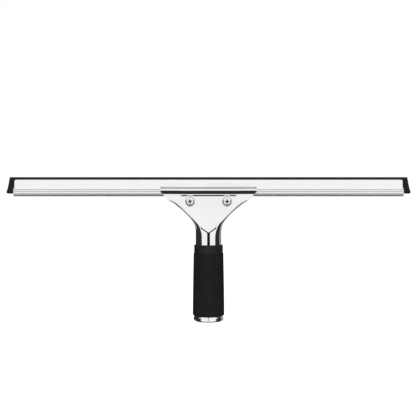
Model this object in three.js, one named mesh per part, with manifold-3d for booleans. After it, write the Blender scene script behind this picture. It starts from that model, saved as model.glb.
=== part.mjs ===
// A window cleaning squeegee: a rubber blade in a steel channel, gripped by a two-jaw handle.
// Millimetres, +Z up towards the rubber lip, +X along the channel, the front of the handle
// faces -Y, and the origin is the centre of the handle's open lower end.

import * as THREE from 'three';
import { mergeVertices } from 'three/addons/utils/BufferGeometryUtils.js';
import Module from 'manifold-3d';

const wasm = await Module();
wasm.setup();

// ---------------------------------------------------------------- driving dimensions

const GAP = 0.3;                 // clearance between pieces that touch
const SHEET = 1.5;               // thickness of the pressed steel
const JOIN = 0.6;                // how far two bodies reach into each other where they are joined
const OVERCUT = 1;               // how far a cut runs on past the surface it opens
const CLEAR = 30;                // far enough forward or back to clear the whole handle
const CORNER_FLAT = 0.2;         // flat left between the quarters of a round section
const ROUND_STEPS = 24;          // straight sides of a small round part

const NECK_RADIUS = 14.6;        // the round tube of the handle
const MOUTH_RADIUS = 17.0;       // the flared open end
const FAN_BOTTOM = 98;           // the tube starts to flatten and widen into a fan
const FAN_EDGED = 122;           // from here up the fan's edges have their final rounding
const FAN_FLAT = 131;            // from here up the fan is flat and at its final depth
const FAN_TOP = 140.9;
const FAN_HALF_DEPTH = 6.4;
const FAN_CORNER = 3.2;          // edge rounding of the flattened fan
const BORDER = 3.7;              // rim of the shell that frames the front plate
const JAW_HALF_WIDTH = 54.9;
const JAW_TOP = 156.5;
const V_BOTTOM = 100.4;          // lowest point of the V-shaped opening
const V_TIP_X = 7.6;
const V_TIP_Z = 105.5;
const SEAM_TOP_WIDTH = 3.2;      // the tube's two edges nearly meet at the front
const SEAM_BOTTOM_WIDTH = 1.8;

const GRIP_BOTTOM = 5.6;
const GRIP_BODY_BOTTOM_RADIUS = 18.0;
const GRIP_BODY_TOP_RADIUS = 17.0;
const GRIP_SHOULDER = 77;        // the ribbed body ends and the plain collar begins
const GRIP_TOP = 86.2;
const GRIP_COLLAR_RADIUS = 16.4;

const CHANNEL_LENGTH = 442.7;
const CHANNEL_WALL = 1.1;
const CHANNEL_FLAT_HALF_DEPTH = 2.8;
const CHANNEL_TOP = 160.1;
const CHANNEL_TOP_SETBACK = 1.0; // the flat part is this much shorter at each end
const BULB_HALF_DEPTH = 4.5;
const BULB_BOTTOM = 141.2;
const BULB_TOP = 150.3;
const BULB_CORNER = 3.0;

const BLADE_BACK_LENGTH = 459.6;
const BLADE_LIP_LENGTH = 452.4;
const BLADE_THICKNESS = 2.8;
const BLADE_LIP_THICKNESS = 2.4;
const BLADE_BOTTOM = 144.4;
const BLADE_TOP = 163.1;
const BEAD_RADIUS = 2.5;

const CLIP_LENGTH = 24;
const CLIP_WIDTH = 4.6;
const CLIP_THICKNESS = 1.0;
const CLIP_INSET = 3;            // from the channel's end to the clip's outer end

const SCREW_X = 20.9;
const SCREW_Z = 135.3;
const SCREW_RADIUS = 2.5;
const SCREW_REACH = 1.1;         // how far the tip stands out behind the shell
const HEAD_RADIUS = 5.0;
const HEAD_HEIGHT = 3.0;
const HEAD_RIM = 0.5;            // straight part of the head under its dome
const RECESS_WIDTH = 1.2;
const RECESS_SPAN = 4.6;
const RECESS_DEPTH = 1.9;
const WASHER_RADIUS = 5.5;       // wider than the screw's head
const WASHER_THICKNESS = 1.2;
const WASHER_SPLIT = 0.25;       // radians
const NUT_FLATS = 8;
const NUT_HEIGHT = 4;
const SHELL_HOLE_RADIUS = 2.9;
const PLATE_HOLE_RADIUS = 3.3;   // wide enough for the plate to tip around the screw

// ---------------------------------------------------------------- helpers

// Turns a closed geometry into a solid for cutting and joining.
function solid(geometry) {
  const bare = geometry.clone();
  bare.deleteAttribute('normal');
  bare.deleteAttribute('uv');
  const merged = mergeVertices(bare, 1e-4);
  return new wasm.Manifold(new wasm.Mesh({
    numProp: 3,
    vertProperties: new Float32Array(merged.attributes.position.array),
    triVerts: new Uint32Array(merged.index.array),
  }));
}

function piece(name, shape, material) {
  const { vertProperties, triVerts } = shape.getMesh();
  const geometry = new THREE.BufferGeometry();
  geometry.setAttribute('position', new THREE.BufferAttribute(vertProperties, 3));
  geometry.setIndex(new THREE.BufferAttribute(triVerts, 1));
  const faceted = geometry.toNonIndexed();
  faceted.computeVertexNormals();
  const mesh = new THREE.Mesh(faceted, material);
  mesh.name = name;
  return mesh;
}

function extrude(shape, depth, curveSegments = 6) {
  return new THREE.ExtrudeGeometry(shape, { depth, bevelEnabled: false, curveSegments });
}

// A (y, z) outline carried along X, centred on x = 0.
function alongX(shape, length, curveSegments) {
  const geometry = extrude(shape, length, curveSegments);
  const axes = [new THREE.Vector3(0, 1, 0), new THREE.Vector3(0, 0, 1), new THREE.Vector3(1, 0, 0)];
  geometry.applyMatrix4(new THREE.Matrix4().makeBasis(...axes));
  return geometry.translate(-length / 2, 0, 0);
}

// An (x, z) outline carried along Y from yFrom to yTo.
function alongY(shape, yFrom, yTo, curveSegments) {
  const geometry = extrude(shape, yTo - yFrom, curveSegments);
  const axes = [new THREE.Vector3(1, 0, 0), new THREE.Vector3(0, 0, 1), new THREE.Vector3(0, -1, 0)];
  geometry.applyMatrix4(new THREE.Matrix4().makeBasis(...axes));
  return geometry.translate(0, yTo, 0);
}

function polygon(points) {
  return new THREE.Shape(points.map(([a, b]) => new THREE.Vector2(a, b)));
}

// The (x, z) points and their mirror image across x = 0, as one closed outline.
function mirroredPolygon(rightSide) {
  const leftSide = rightSide.map(([x, z]) => [-x, z]).reverse();
  return polygon([...rightSide, ...leftSide]);
}

// A closed body through rounded rectangles: each section is { z, halfWidth, halfDepth, corner }.
function loft(sections, cornerSteps = 7) {
  const rings = sections.map(({ z, halfWidth, halfDepth, corner }) => {
    const ring = [];
    for (let quarter = 0; quarter < 4; quarter += 1) {
      const sideX = quarter === 0 || quarter === 3 ? 1 : -1;
      const sideY = quarter < 2 ? 1 : -1;
      for (let step = 0; step <= cornerSteps; step += 1) {
        const angle = (quarter + step / cornerSteps) * Math.PI / 2;
        ring.push([
          sideX * (halfWidth - corner) + corner * Math.cos(angle),
          sideY * (halfDepth - corner) + corner * Math.sin(angle),
          z,
        ]);
      }
    }
    return ring;
  });
  const count = rings[0].length;
  const positions = rings.flat(2);
  const bottomCentre = rings.length * count;
  const topCentre = bottomCentre + 1;
  positions.push(0, 0, sections[0].z, 0, 0, sections.at(-1).z);
  const index = [];
  for (let side = 0; side < count; side += 1) {
    const next = (side + 1) % count;
    for (let level = 0; level + 1 < rings.length; level += 1) {
      const low = level * count;
      const high = low + count;
      index.push(low + side, low + next, high + next);
      index.push(low + side, high + next, high + side);
    }
    const last = (rings.length - 1) * count;
    index.push(bottomCentre, next, side);
    index.push(topCentre, last + side, last + next);
  }
  const geometry = new THREE.BufferGeometry();
  geometry.setAttribute('position', new THREE.Float32BufferAttribute(positions, 3));
  geometry.setIndex(index);
  return solid(geometry);
}

// Sections of a round body, from [z, radius] pairs. The corner stays just short of the radius,
// so that the ring's quarters never share a point.
function roundSections(profile) {
  return profile.map(([z, radius]) => (
    { z, halfWidth: radius, halfDepth: radius, corner: radius - CORNER_FLAT }
  ));
}

function grow(sections, amount) {
  return sections.map(({ z, halfWidth, halfDepth, corner }) => ({
    z,
    halfWidth: halfWidth + amount,
    halfDepth: halfDepth + amount,
    corner: corner + amount,
  }));
}

function cylinderAlongY(radius, yFrom, yTo, x, z) {
  const geometry = new THREE.CylinderGeometry(radius, radius, yTo - yFrom, ROUND_STEPS);
  return solid(geometry.translate(x, (yFrom + yTo) / 2, z));
}

function box(width, depth, height, x, y, z) {
  return solid(new THREE.BoxGeometry(width, depth, height).translate(x, y, z));
}

// ---------------------------------------------------------------- materials

const steel = new THREE.MeshStandardMaterial({ color: 0xdcdee0, roughness: 0.12, metalness: 1 });
const satinSteel = new THREE.MeshStandardMaterial({ color: 0xe6e7e8, roughness: 0.3, metalness: 1 });
const springSteel = new THREE.MeshStandardMaterial({ color: 0x8d9094, roughness: 0.4, metalness: 1 });
const bladeRubber = new THREE.MeshStandardMaterial({ color: 0x161616, roughness: 0.7, metalness: 0 });
const gripRubber = new THREE.MeshStandardMaterial({ color: 0x222222, roughness: 0.6, metalness: 0 });

// ---------------------------------------------------------------- handle: shared outer form

// Radius of the tube at each height below the fan: flared mouth, short cone, straight neck.
const TUBE_PROFILE = [
  [0, MOUTH_RADIUS - 0.3],
  [1.2, MOUTH_RADIUS],
  [5, 16.1],
  [9, 15.2],
  [14, NECK_RADIUS],
  [FAN_BOTTOM, NECK_RADIUS],
];

// The fan's right-hand flank as seen from the front.
const flank = new THREE.SplineCurve([
  [NECK_RADIUS, FAN_BOTTOM],
  [15.1, 105.2],
  [17.6, 112],
  [25.1, 121.2],
  [35.6, 130.3],
  [42.2, 134.7],
  [46.8, 137.2],
  [49.4, FAN_TOP],
].map(([x, z]) => new THREE.Vector2(x, z)));

function fanSection(point) {
  const z = point.y;
  const depthRamp = THREE.MathUtils.clamp((z - FAN_BOTTOM) / (FAN_FLAT - FAN_BOTTOM), 0, 1);
  const cornerRamp = THREE.MathUtils.smoothstep(z, FAN_BOTTOM, FAN_EDGED);
  return {
    z,
    halfWidth: point.x,
    halfDepth: THREE.MathUtils.lerp(NECK_RADIUS, FAN_HALF_DEPTH, depthRamp),
    corner: THREE.MathUtils.lerp(NECK_RADIUS - CORNER_FLAT, FAN_CORNER, cornerRamp),
  };
}

const outerSections = [
  ...roundSections(TUBE_PROFILE.slice(0, -1)),
  ...flank.getPoints(21).map(fanSection),
];

// The pressed skin of the whole handle, a sleeve that is open at both ends.
function handleSkin() {
  const innerSections = grow(outerSections, -SHEET);
  innerSections.unshift({ ...innerSections[0], z: -OVERCUT });
  innerSections.push({ ...innerSections.at(-1), z: FAN_TOP + OVERCUT });
  return loft(outerSections).subtract(loft(innerSections));
}

// Outline of the opening in the front of the skin, which the front plate fills: a V at the
// bottom, then parallel to the flanks. A larger spread widens it all round.
function openingOutline(spread) {
  const inset = BORDER - spread;
  const besideAxis = 0.01;
  const pastCorner = 6;
  const spreadAtPoint = 1.2 * spread;
  const rightSide = [
    [besideAxis, V_BOTTOM - spreadAtPoint],
    [V_TIP_X + spread, V_TIP_Z - spread],
  ];
  const firstStep = 5;             // the flank below this belongs to the V
  const steps = 16;
  for (let step = firstStep; step <= steps; step += 1) {
    const t = step / steps;
    const point = flank.getPointAt(t);
    const tangent = flank.getTangentAt(t);
    const belowJaw = point.y + BORDER * tangent.x < FAN_TOP - BORDER;
    if (belowJaw) rightSide.push([point.x - inset * tangent.y, point.y + inset * tangent.x]);
  }
  const outside = flank.points.at(-1).x + pastCorner;
  rightSide.push(
    [outside, FAN_TOP - BORDER + OVERCUT - spread],
    [outside, FAN_TOP + OVERCUT],
  );
  return mirroredPolygon(rightSide);
}

// ---------------------------------------------------------------- handle: jaws

// Section of one jaw in (forward, z): a flat foot in line with the fan, a crest that bulges
// forward, and a thin leaf that lies along the channel.
const JAW_SECTION = [
  [FAN_HALF_DEPTH, FAN_TOP - JOIN],
  [FAN_HALF_DEPTH, 144.2],
  [8.7, 147.8],
  [9.2, 148.9],
  [8.7, 149.9],
  [5.4, 152.1],
  [4.5, 153.1],
  [4.5, JAW_TOP],
  [3.1, JAW_TOP],
  [3.1, 152.4],
  [7.3, 149.4],
  [7.3, 148.4],
  [FAN_HALF_DEPTH - SHEET, 144.9],
  [FAN_HALF_DEPTH - SHEET, FAN_TOP - JOIN],
];

// Outline of a jaw as seen from the front, its right half from bottom to top.
const JAW_OUTLINE = [
  [49.1, FAN_TOP - JOIN],
  [51.6, 143.8],
  [54.6, 147.4],
  [JAW_HALF_WIDTH, 149],
  [54.6, 151.6],
  [51.2, JAW_TOP],
];

function jaw(side) {
  const section = polygon(JAW_SECTION.map(([forward, z]) => [side * forward, z]));
  const outline = mirroredPolygon(JAW_OUTLINE);
  const blank = solid(alongX(section, 2 * JAW_HALF_WIDTH + OVERCUT));
  return blank.intersect(solid(alongY(outline, -CLEAR, CLEAR)));
}

// ---------------------------------------------------------------- handle pieces

// The opening and the plate reach back to here, in front of the nuts' seats.
const FRONT_LAYER = -2;
const SEAM_BACK = -5;            // the seam goes through the front of the tube only

function handleShell() {
  const cut = solid(alongY(openingOutline(GAP), -CLEAR, FRONT_LAYER));
  const seam = polygon([
    [-SEAM_BOTTOM_WIDTH / 2, -OVERCUT],
    [SEAM_BOTTOM_WIDTH / 2, -OVERCUT],
    [SEAM_TOP_WIDTH / 2, V_BOTTOM + 2 * OVERCUT],
    [-SEAM_TOP_WIDTH / 2, V_BOTTOM + 2 * OVERCUT],
  ]);
  let shell = handleSkin().subtract(cut).subtract(solid(alongY(seam, -CLEAR, SEAM_BACK)));
  shell = shell.add(jaw(1));
  for (const x of [-SCREW_X, SCREW_X]) {
    shell = shell.subtract(cylinderAlongY(SHELL_HOLE_RADIUS, 0, CLEAR, x, SCREW_Z));
  }
  return piece('handle_shell', shell, steel);
}

function frontJawPlate() {
  const region = solid(alongY(openingOutline(0), -CLEAR, FRONT_LAYER - GAP));
  let plate = handleSkin().intersect(region).add(jaw(-1));
  for (const x of [-SCREW_X, SCREW_X]) {
    plate = plate.subtract(cylinderAlongY(PLATE_HOLE_RADIUS, -CLEAR, 0, x, SCREW_Z));
  }
  return piece('front_jaw_plate', plate, steel);
}

function rubberGrip() {
  const outer = roundSections([
    [GRIP_BOTTOM, GRIP_BODY_BOTTOM_RADIUS - 0.9],
    [GRIP_BOTTOM + 1, GRIP_BODY_BOTTOM_RADIUS - 0.25],
    [GRIP_BOTTOM + 3, GRIP_BODY_BOTTOM_RADIUS],
    [GRIP_SHOULDER, GRIP_BODY_TOP_RADIUS],
    [GRIP_SHOULDER + 0.6, GRIP_COLLAR_RADIUS],
    [GRIP_TOP - 0.5, GRIP_COLLAR_RADIUS],
    [GRIP_TOP, GRIP_COLLAR_RADIUS - 0.4],
  ]);
  const bore = grow(roundSections(TUBE_PROFILE), GAP);
  return piece('rubber_grip', loft(outer).subtract(loft(bore)), gripRubber);
}

// ---------------------------------------------------------------- channel and blade

// A bar with a rounded-rectangle section in the (y, z) plane, along X.
function roundedBar(halfDepth, bottom, top, corner, length) {
  const shape = new THREE.Shape();
  const y = halfDepth - corner;
  const quarter = Math.PI / 2;
  shape.moveTo(halfDepth, bottom + corner);
  shape.absarc(y, top - corner, corner, 0, quarter);
  shape.absarc(-y, top - corner, corner, quarter, 2 * quarter);
  shape.absarc(-y, bottom + corner, corner, 2 * quarter, 3 * quarter);
  shape.absarc(y, bottom + corner, corner, 3 * quarter, 4 * quarter);
  return solid(alongX(shape, length, 5));
}

// The flat part of the channel as seen from the front, with its two top corners rounded.
function channelFlatOutline() {
  const half = CHANNEL_LENGTH / 2 - CHANNEL_TOP_SETBACK;
  const corner = 2;
  const shape = new THREE.Shape();
  shape.moveTo(-half, BULB_TOP - OVERCUT);
  shape.lineTo(half, BULB_TOP - OVERCUT);
  shape.absarc(half - corner, CHANNEL_TOP - corner, corner, 0, Math.PI / 2);
  shape.absarc(corner - half, CHANNEL_TOP - corner, corner, Math.PI / 2, Math.PI);
  return shape;
}

// The channel is keyhole-shaped: two flat walls above a hollow bulb, open at the top.
function channel() {
  const wall = CHANNEL_WALL;
  const through = CHANNEL_LENGTH + 2 * OVERCUT;
  const flat = CHANNEL_FLAT_HALF_DEPTH;
  const slotDepth = 2 * (flat - wall);
  const slotBottom = BULB_TOP - wall - OVERCUT;
  const slotHeight = CHANNEL_TOP + OVERCUT - slotBottom;
  const bulb = roundedBar(BULB_HALF_DEPTH, BULB_BOTTOM, BULB_TOP, BULB_CORNER, CHANNEL_LENGTH);
  const hollow = roundedBar(
    BULB_HALF_DEPTH - wall, BULB_BOTTOM + wall, BULB_TOP - wall, BULB_CORNER - wall, through,
  );
  const slot = box(through, slotDepth, slotHeight, 0, 0, slotBottom + slotHeight / 2);
  const walls = solid(alongY(channelFlatOutline(), -flat, flat));
  return piece('channel', bulb.add(walls).subtract(hollow).subtract(slot), satinSteel);
}

// The blade is a strip with a round bead along its back and slanted ends.
function rubberBlade() {
  const half = BLADE_THICKNESS / 2;
  const lipHalf = BLADE_LIP_THICKNESS / 2;
  const webBottom = BLADE_BOTTOM + BEAD_RADIUS;
  const taperBottom = BLADE_TOP - 2.5;
  const endBevel = 1;
  const margin = 0.1;              // keeps the trimming outline off the strip's own faces
  const web = polygon([
    [-half, webBottom],
    [half, webBottom],
    [half, taperBottom],
    [lipHalf, BLADE_TOP],
    [-lipHalf, BLADE_TOP],
    [-half, taperBottom],
  ]);
  const beadTop = BLADE_BOTTOM + 2 * BEAD_RADIUS;
  const beadCorner = BEAD_RADIUS - margin;
  const bead = roundedBar(BEAD_RADIUS, BLADE_BOTTOM, beadTop, beadCorner, BLADE_BACK_LENGTH);
  const outline = mirroredPolygon([
    [BLADE_BACK_LENGTH / 2 - endBevel, BLADE_BOTTOM - margin],
    [BLADE_BACK_LENGTH / 2, BLADE_BOTTOM + endBevel],
    [BLADE_LIP_LENGTH / 2, BLADE_TOP + margin],
  ]);
  const strip = solid(alongX(web, BLADE_BACK_LENGTH + 2 * OVERCUT)).add(bead);
  return piece('rubber_blade', strip.intersect(solid(alongY(outline, -CLEAR, CLEAR))), bladeRubber);
}

// A spring-steel clip under the bead at each end, which keeps the blade from creeping.
function bladeClip(name, side) {
  const floor = BULB_BOTTOM + CHANNEL_WALL + GAP;
  const x = side * (CHANNEL_LENGTH / 2 - CLIP_INSET - CLIP_LENGTH / 2);
  const strip = box(CLIP_LENGTH, CLIP_WIDTH, CLIP_THICKNESS, x, 0, floor + CLIP_THICKNESS / 2);
  return piece(name, strip, springSteel);
}

// ---------------------------------------------------------------- fasteners

// Depth stations of a clamp screw, from the underside of the head to the tip.
const WASHER_FRONT = -(FAN_HALF_DEPTH + GAP + WASHER_THICKNESS);
const HEAD_SEAT = WASHER_FRONT - GAP;
const SCREW_TIP = FAN_HALF_DEPTH + SCREW_REACH;

// A pan head with a cross recess on a plain shank; turn rotates the cross about the axis.
function clampScrew(name, x, turn) {
  const shankLength = SCREW_TIP - HEAD_SEAT;
  const tipChamfer = 0.6;
  const domeSteps = 5;
  const profile = [
    [0, 0],
    [SCREW_RADIUS - tipChamfer, 0],
    [SCREW_RADIUS, tipChamfer],
    [SCREW_RADIUS, shankLength],
    [HEAD_RADIUS, shankLength],
  ];
  for (let step = 0; step <= domeSteps; step += 1) {
    const angle = step / domeSteps * Math.PI / 2;
    const height = HEAD_RIM + (HEAD_HEIGHT - HEAD_RIM) * Math.sin(angle);
    profile.push([HEAD_RADIUS * Math.cos(angle), shankLength + height]);
  }
  profile.at(-1)[0] = 0;
  const points = profile.map(([radius, height]) => new THREE.Vector2(radius, height));
  let screw = solid(new THREE.LatheGeometry(points, ROUND_STEPS));
  const recessBottom = shankLength + HEAD_HEIGHT - RECESS_DEPTH;
  for (const [width, depth] of [[RECESS_SPAN, RECESS_WIDTH], [RECESS_WIDTH, RECESS_SPAN]]) {
    screw = screw.subtract(box(width, HEAD_HEIGHT, depth, 0, recessBottom + HEAD_HEIGHT / 2, 0));
  }
  const mesh = piece(name, screw, steel);
  mesh.rotation.set(0, turn, Math.PI, 'ZYX');
  mesh.position.set(x, SCREW_TIP, SCREW_Z);
  return mesh;
}

// A split spring washer, flat against the front plate.
function springWasher(name, x) {
  const shape = new THREE.Shape();
  const inner = SCREW_RADIUS + GAP;
  const start = WASHER_SPLIT / 2;
  const end = 2 * Math.PI - start;
  shape.absarc(0, 0, WASHER_RADIUS, start, end, false);
  shape.absarc(0, 0, inner, end, start, true);
  const back = -(FAN_HALF_DEPTH + GAP);
  const ring = solid(alongY(shape, back - WASHER_THICKNESS, back, ROUND_STEPS));
  return piece(name, ring.translate(x, 0, SCREW_Z), springSteel);
}

// A hexagon nut welded to the inside of the shell's back.
function weldNut(name, x) {
  const corner = NUT_FLATS / Math.sqrt(3);
  const back = FAN_HALF_DEPTH - SHEET - GAP;
  const shape = new THREE.Shape();
  for (let side = 0; side < 6; side += 1) {
    const angle = side * Math.PI / 3;
    shape[side === 0 ? 'moveTo' : 'lineTo'](corner * Math.cos(angle), corner * Math.sin(angle));
  }
  shape.holes.push(new THREE.Path().absarc(0, 0, SCREW_RADIUS + GAP, 0, 2 * Math.PI, true));
  const nut = solid(alongY(shape, back - NUT_HEIGHT, back, 12));
  return piece(name, nut.translate(x, 0, SCREW_Z), springSteel);
}

// ---------------------------------------------------------------- assembly

const squeegee = new THREE.Group();
squeegee.add(handleShell(), frontJawPlate(), rubberGrip(), channel(), rubberBlade());

const SIDES = [
  { label: 'left', side: -1, crossTurn: -0.35 },
  { label: 'right', side: 1, crossTurn: 0 },
];
for (const { label, side, crossTurn } of SIDES) {
  const x = side * SCREW_X;
  squeegee.add(
    bladeClip(`blade_clip_${label}`, side),
    clampScrew(`clamp_screw_${label}`, x, crossTurn),
    springWasher(`spring_washer_${label}`, x),
    weldNut(`weld_nut_${label}`, x),
  );
}

export default squeegee;
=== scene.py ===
# A window cleaning squeegee in polished steel, satin steel and black rubber, built as fine meshes
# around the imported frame. Shapes are worked out in millimetres, and meshes are made in metres.
# X runs along the channel, Z points up to the rubber lip, and the front of the handle faces -Y.

import math

import bmesh
import bpy
import numpy as np
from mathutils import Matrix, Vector


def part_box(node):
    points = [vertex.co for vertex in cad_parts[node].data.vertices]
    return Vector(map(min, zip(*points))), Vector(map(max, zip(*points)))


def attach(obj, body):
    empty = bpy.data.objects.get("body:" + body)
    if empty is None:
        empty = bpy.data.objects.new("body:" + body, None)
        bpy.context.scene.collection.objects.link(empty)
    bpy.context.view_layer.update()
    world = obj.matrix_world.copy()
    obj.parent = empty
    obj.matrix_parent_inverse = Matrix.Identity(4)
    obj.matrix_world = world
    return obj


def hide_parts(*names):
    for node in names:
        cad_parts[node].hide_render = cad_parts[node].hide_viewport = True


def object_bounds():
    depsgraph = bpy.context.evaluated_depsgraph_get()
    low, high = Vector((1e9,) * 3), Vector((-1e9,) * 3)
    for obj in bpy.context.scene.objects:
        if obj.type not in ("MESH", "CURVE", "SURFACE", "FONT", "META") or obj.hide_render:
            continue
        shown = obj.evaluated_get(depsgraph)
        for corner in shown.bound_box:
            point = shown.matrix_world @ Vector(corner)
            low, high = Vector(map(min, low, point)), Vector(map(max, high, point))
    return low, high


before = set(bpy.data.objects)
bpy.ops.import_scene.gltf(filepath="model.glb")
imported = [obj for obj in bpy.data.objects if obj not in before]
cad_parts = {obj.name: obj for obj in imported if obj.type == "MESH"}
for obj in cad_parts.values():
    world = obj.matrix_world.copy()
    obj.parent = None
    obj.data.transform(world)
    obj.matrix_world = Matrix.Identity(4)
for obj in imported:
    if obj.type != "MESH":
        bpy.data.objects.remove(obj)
cad_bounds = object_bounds()

MM = 0.001


def box_mm(node):
    """Lowest and highest corner of a CAD node, in millimetres."""
    low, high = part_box(node)
    return np.array(low) / MM, np.array(high) / MM


# ---------------------------------------------------------------- sizes from the frame

SHELL_HIGH = box_mm("handle_shell")[1]
GRIP_LOW, GRIP_HIGH = box_mm("rubber_grip")
CHANNEL_LOW, CHANNEL_HIGH = box_mm("channel")
BLADE_LOW, BLADE_HIGH = box_mm("rubber_blade")
SCREW_LOW, SCREW_HIGH = box_mm("clamp_screw_right")
WASHER_LOW, WASHER_HIGH = box_mm("spring_washer_right")
NUT_LOW, NUT_HIGH = box_mm("weld_nut_right")
CLIP_LOW, CLIP_HIGH = box_mm("blade_clip_right")

MOUTH_RADIUS = SHELL_HIGH[1]
JAW_HALF_WIDTH = SHELL_HIGH[0]
JAW_TOP = SHELL_HIGH[2]
GRIP_RADIUS = GRIP_HIGH[0]
SCREW_X = (SCREW_LOW[0] + SCREW_HIGH[0]) / 2
SCREW_Z = (SCREW_LOW[2] + SCREW_HIGH[2]) / 2
HEAD_RADIUS = (SCREW_HIGH[0] - SCREW_LOW[0]) / 2

# ---------------------------------------------------------------- driving sizes, mm

SHEET = 1.5               # thickness of the pressed steel
NECK_RADIUS = 14.6
FAN_BOTTOM = 98           # at about this height the tube starts to flatten into a fan
FAN_FLAT = 131            # from about here up the fan has its final depth
FAN_TOP = 140.9           # the fan ends and the jaws begin
FAN_HALF_DEPTH = 6.4
FAN_TOP_HALF_WIDTH = 49.4
ROUND_SLACK = 0.02        # keeps a round section's four arcs apart
SHOULDER_Z = 137.4        # the shell's front rim ends, and only its back goes on
V_SLOPE = 1.483           # run over rise of the shell's V
V_BOTTOM = 100.6          # the tip of the plate's V
V_ROW = 100.64            # a row of the shell's points lies here, just above that tip
V_TOP = 104.9             # the shell's V ends here, and the plate's a little above
PLATE_V_TOP = 105.6
PLATE_V_SLOPE = 1.43
PLATE_TIP_HALF_WIDTH = 0.25
RIM_TOP = 136.2           # the rim runs beside the plate up to here
RIM_TOP_HALF_WIDTH = 41.6
PLATE_FLAT_FROM = 134.5   # from here up to the shoulder the plate turns from curved to flat
V_GAP = 1.6               # how far the shell's V lies below the plate's
JAW_STEP_SPAN = (26, 42)  # the step under the jaw fades out between these x
SEAM_HALF_WIDTH_LOW = 0.05
SEAM_HALF_WIDTH_HIGH = 1.55
SEAM_SPREAD = (4, 86)     # the seam widens between these heights
SEAM_ROLL = 0.75          # how far the seam's edges turn in at the mouth
SEAM_ROLL_WIDTH = 1.6
SEAM_ROLL_FADE = (8, 20)  # and they straighten between these heights
EDGE_CROWDING = 1.35      # above 1, points lie closer together near the sheet's front edges
TURN_CROWDING = 0.8       # above 0, they also do where the outline turns
CLOSE_GAP = 0.13          # between the outlines of the rim and the front plate
ROW_STEP = 0.9            # height between the rows of points of the pressed steel
CREST_RADIUS = 1.65
LEAF_FORWARD = 4.5        # the leaf at the jaw's tip lies this far forward

RIBS = 42
RIB_DEPTH = 0.6
GRIP_FOOT_RADIUS = 2.2    # rounding of the grip's lower rim
GRIP_SHOULDER = 77        # the ribbed part ends and the plain collar begins
COLLAR_RADIUS = 16.4
GRIP_TOP_RADIUS = 17.0
GRIP_SLACK = 0.12         # between the sleeve and the tube

CHANNEL_WALL = 1.1
CHANNEL_CORNER = 2.0
CHANNEL_SETBACK = 1.0     # the flat part is this much shorter than the bulb at each end
LIP_DROPS = (0, 0.1, 0.35, 0.8, 1.4, 2.0)     # the lip's points lie this far below its top
BULB_TOP = 150.6
BULB_SWELL = 1.7          # how far the bulb stands out from the flat part
LEDGE_DEPTH = 0.6
LEDGE_FALL = 0.85         # height of a ledge's underside

BLADE_WEB_HALF = 1.4      # half the blade's thickness at its web and at its lip
BLADE_LIP_HALF = 1.2
BLADE_LIP_SETBACK = 3.6   # the lip is this much shorter than the back at each end

THREAD_PITCH = 0.8
THREAD_DEPTH = 0.45
HEAD_RIM = 0.5            # straight part of a screw's head, under its dome
SHANK_RADIUS = 2.5
SHELL_HOLE_RADIUS = SHANK_RADIUS + 0.4
PLATE_HOLE_RADIUS = SHANK_RADIUS + 0.8
WASHER_FRONT_GAP = 0.06   # the washer lies this far inside its CAD box
WASHER_BACK_GAP = 0.14
CLIP_THICKNESS = 0.5
CLIP_BOW = 0.112
CLIP_DIMPLE = 0.3

# ---------------------------------------------------------------- curves


def spline(knots):
    """A smooth function (natural cubic) through (place, value) knots, level past its ends."""
    place, value = np.array(knots, float).T
    count = len(place)
    step = np.diff(place)
    system = np.eye(count)
    right = np.zeros(count)
    for i in range(1, count - 1):
        system[i, i - 1:i + 2] = step[i - 1], 2 * (step[i - 1] + step[i]), step[i]
        rise = (value[i + 1] - value[i]) / step[i]
        right[i] = 6 * (rise - (value[i] - value[i - 1]) / step[i - 1])
    bend = np.linalg.solve(system, right)

    def at(x):
        x = np.clip(x, place[0], place[-1])
        i = np.clip(np.searchsorted(place, x) - 1, 0, count - 2)
        a = (place[i + 1] - x) / step[i]
        b = 1 - a
        cubic = ((a**3 - a) * bend[i] + (b**3 - b) * bend[i + 1]) * step[i]**2 / 6
        return a * value[i] + b * value[i + 1] + cubic

    return at


def smooth_path(points, count):
    """Count points along a smooth curve through the given (a, b) points."""
    points = np.array(points, float)
    chord = np.concatenate([[0], np.cumsum(np.linalg.norm(np.diff(points, axis=0), axis=1))])
    t = np.linspace(0, chord[-1], count)
    along = [spline(np.column_stack([chord, points[:, axis]]))(t) for axis in (0, 1)]
    return np.column_stack(along)


def rounded_path(corners, steps=5):
    """Points along a broken line of (a, b, radius) corners, with an arc at each inner corner."""
    points = [np.array(corners[0][:2], float)]
    for before, here, after in zip(corners, corners[1:], corners[2:]):
        corner = np.array(here[:2], float)
        back = np.array(before[:2], float) - corner
        ahead = np.array(after[:2], float) - corner
        back /= np.linalg.norm(back)
        ahead /= np.linalg.norm(ahead)
        half = math.acos(float(np.clip(back @ ahead, -1, 1))) / 2
        inward = (back + ahead) / np.linalg.norm(back + ahead)
        centre = corner + inward * here[2] / math.sin(half)
        start = corner + back * here[2] / math.tan(half) - centre
        end = corner + ahead * here[2] / math.tan(half) - centre
        for turn in np.linspace(0, 1, steps + 1):
            spoke = start * (1 - turn) + end * turn
            points.append(centre + spoke / np.linalg.norm(spoke) * here[2])
    points.append(np.array(corners[-1][:2], float))
    return np.array(points)


def ramp(value, soft):
    """max(value, 0), with its corner softened over plus and minus soft."""
    if value <= -soft:
        return 0.0
    if value >= soft:
        return float(value)
    return (value + soft)**2 / (4 * soft)


def smoothstep(low, high, value):
    """0 below low, 1 above high, and a smooth rise between."""
    t = np.clip((value - low) / (high - low), 0, 1)
    return t * t * (3 - 2 * t)


def heights(stops, step):
    """Sorted heights at most about one step apart that include every stop."""
    pieces = [
        np.linspace(low, high, max(2, math.ceil((high - low) / step) + 1))
        for low, high in zip(stops, stops[1:])
    ]
    return np.unique(np.round(np.concatenate(pieces), 4))


# ---------------------------------------------------------------- meshes


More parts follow.
